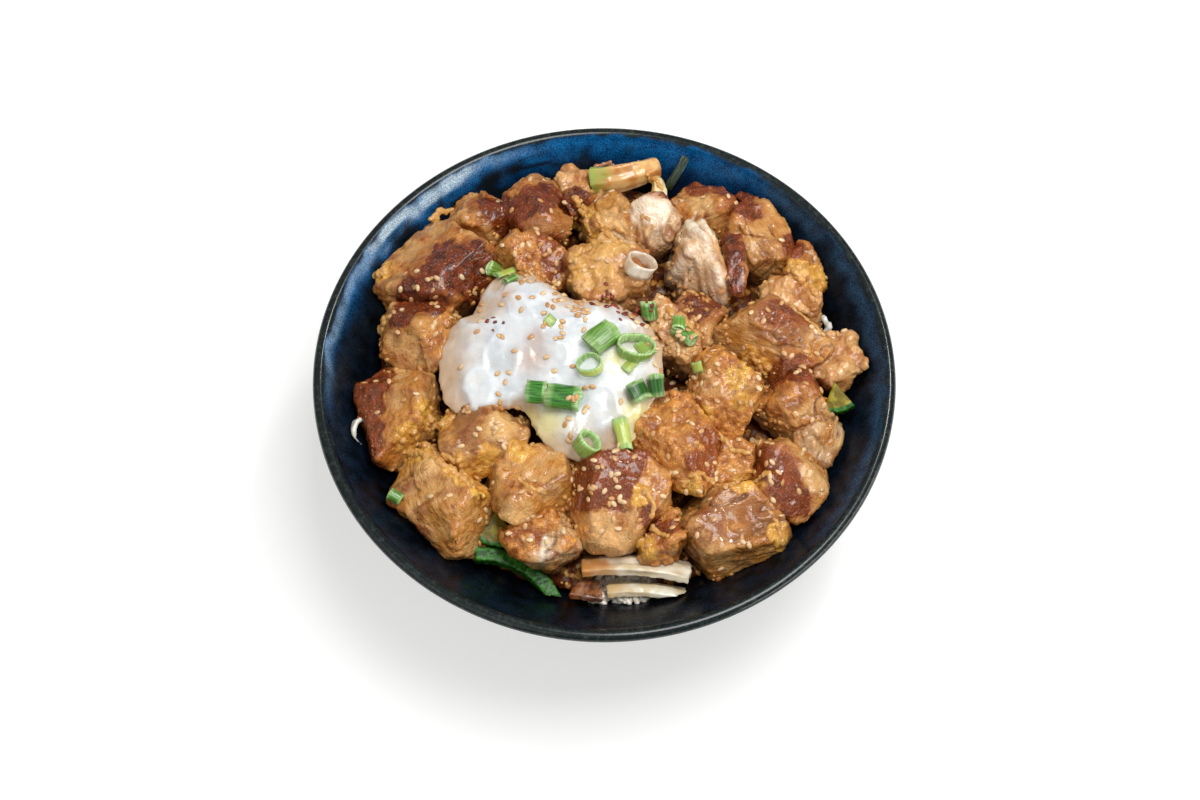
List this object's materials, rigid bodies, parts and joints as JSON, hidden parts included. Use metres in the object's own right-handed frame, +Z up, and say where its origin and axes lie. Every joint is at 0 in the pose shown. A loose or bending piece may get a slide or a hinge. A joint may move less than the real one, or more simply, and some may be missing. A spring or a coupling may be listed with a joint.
{
  "type": "bowl of oyakodon",
  "caption": "Wide round footed bowl in mottled blue glaze, heaped with browned chicken chunks, soft egg, onion and spring onion on rice.",
  "frame": {"origin": "on the table, under the middle of the bowl's foot ring", "axes": "+Z up, -Y towards the viewer of the picture, +X to the viewer's right"},
  "size_m": [0.205, 0.205, 0.0857],
  "materials": {
    "glaze": "glossy mottled blue and black glaze",
    "rice": "moist steamed rice",
    "sauce": "glossy brown sauce with half set egg",
    "browned_chicken": "browned, saucy",
    "glazed_chicken": "golden, saucy",
    "pale_chicken": "pale cooked meat, moist",
    "egg_curd": "moist egg curds",
    "egg_white": "glossy soft set egg white",
    "onion": "translucent soft onion",
    "spring_onion": "fresh green, satin",
    "courgette": "soft flesh with dark green skin"
  },
  "bodies": {
    "root": {"bowl": "glaze", "rice": "rice", "egg_and_onion_bed": "sauce", "onion_glazed_front": "sauce", "chicken_back_left_wedge": "browned_chicken", "chicken_left_upper": "browned_chicken", "chicken_left_middle": "browned_chicken", "chicken_front_tall": "browned_chicken", "chicken_right_flat": "browned_chicken", "chicken_right_front_cube": "browned_chicken", "chicken_front_gap": "browned_chicken", "chicken_back_right_lobe": "browned_chicken", "chicken_right_back_small": "browned_chicken", "chicken_back_dark": "browned_chicken", "chicken_back_left_dark": "browned_chicken", "chicken_sauce_hollow": "browned_chicken", "chicken_small_cap": "browned_chicken", "chicken_skin_strip": "browned_chicken", "chicken_left_front": "glazed_chicken", "chicken_front_left_round": "glazed_chicken", "chicken_front_middle_left": "glazed_chicken", "chicken_crusty_middle": "glazed_chicken", "chicken_crusty_right": "glazed_chicken", "chicken_right_broad": "glazed_chicken", "chicken_front_right_broad": "glazed_chicken", "chicken_crumb_middle": "glazed_chicken", "chicken_back_right_left": "glazed_chicken", "chicken_back_flat": "glazed_chicken", "chicken_streaked_crust": "glazed_chicken", "chicken_front_low": "pale_chicken", "chicken_right_lobe": "pale_chicken", "chicken_torn_white": "pale_chicken", "chicken_white_end": "pale_chicken", "curds_right": "egg_curd", "curds_far_right": "egg_curd", "curds_back": "egg_curd", "curds_middle": "egg_curd", "crumbs_middle": "egg_curd", "egg_white": "egg_white", "onion_front_upper": "onion", "onion_front_lower": "onion", "onion_back": "onion", "onion_back_right": "onion", "onion_curl_left": "onion", "onion_ring_middle": "onion", "green_strip_back": "spring_onion", "spring_onion_large": "spring_onion", "spring_onion_second": "spring_onion", "spring_onion_blade": "spring_onion", "spring_onion_ring_pale": "spring_onion", "spring_onion_ring_yellow": "spring_onion", "spring_onion_dark": "spring_onion", "spring_onion_upright": "spring_onion", "spring_onion_front": "spring_onion", "spring_onion_stalk": "spring_onion", "spring_onion_loop": "spring_onion", "spring_onion_right": "spring_onion", "courgette_skin_front": "courgette", "courgette_right": "courgette", "courgette_left": "courgette"}
  },
  "joints": []
}
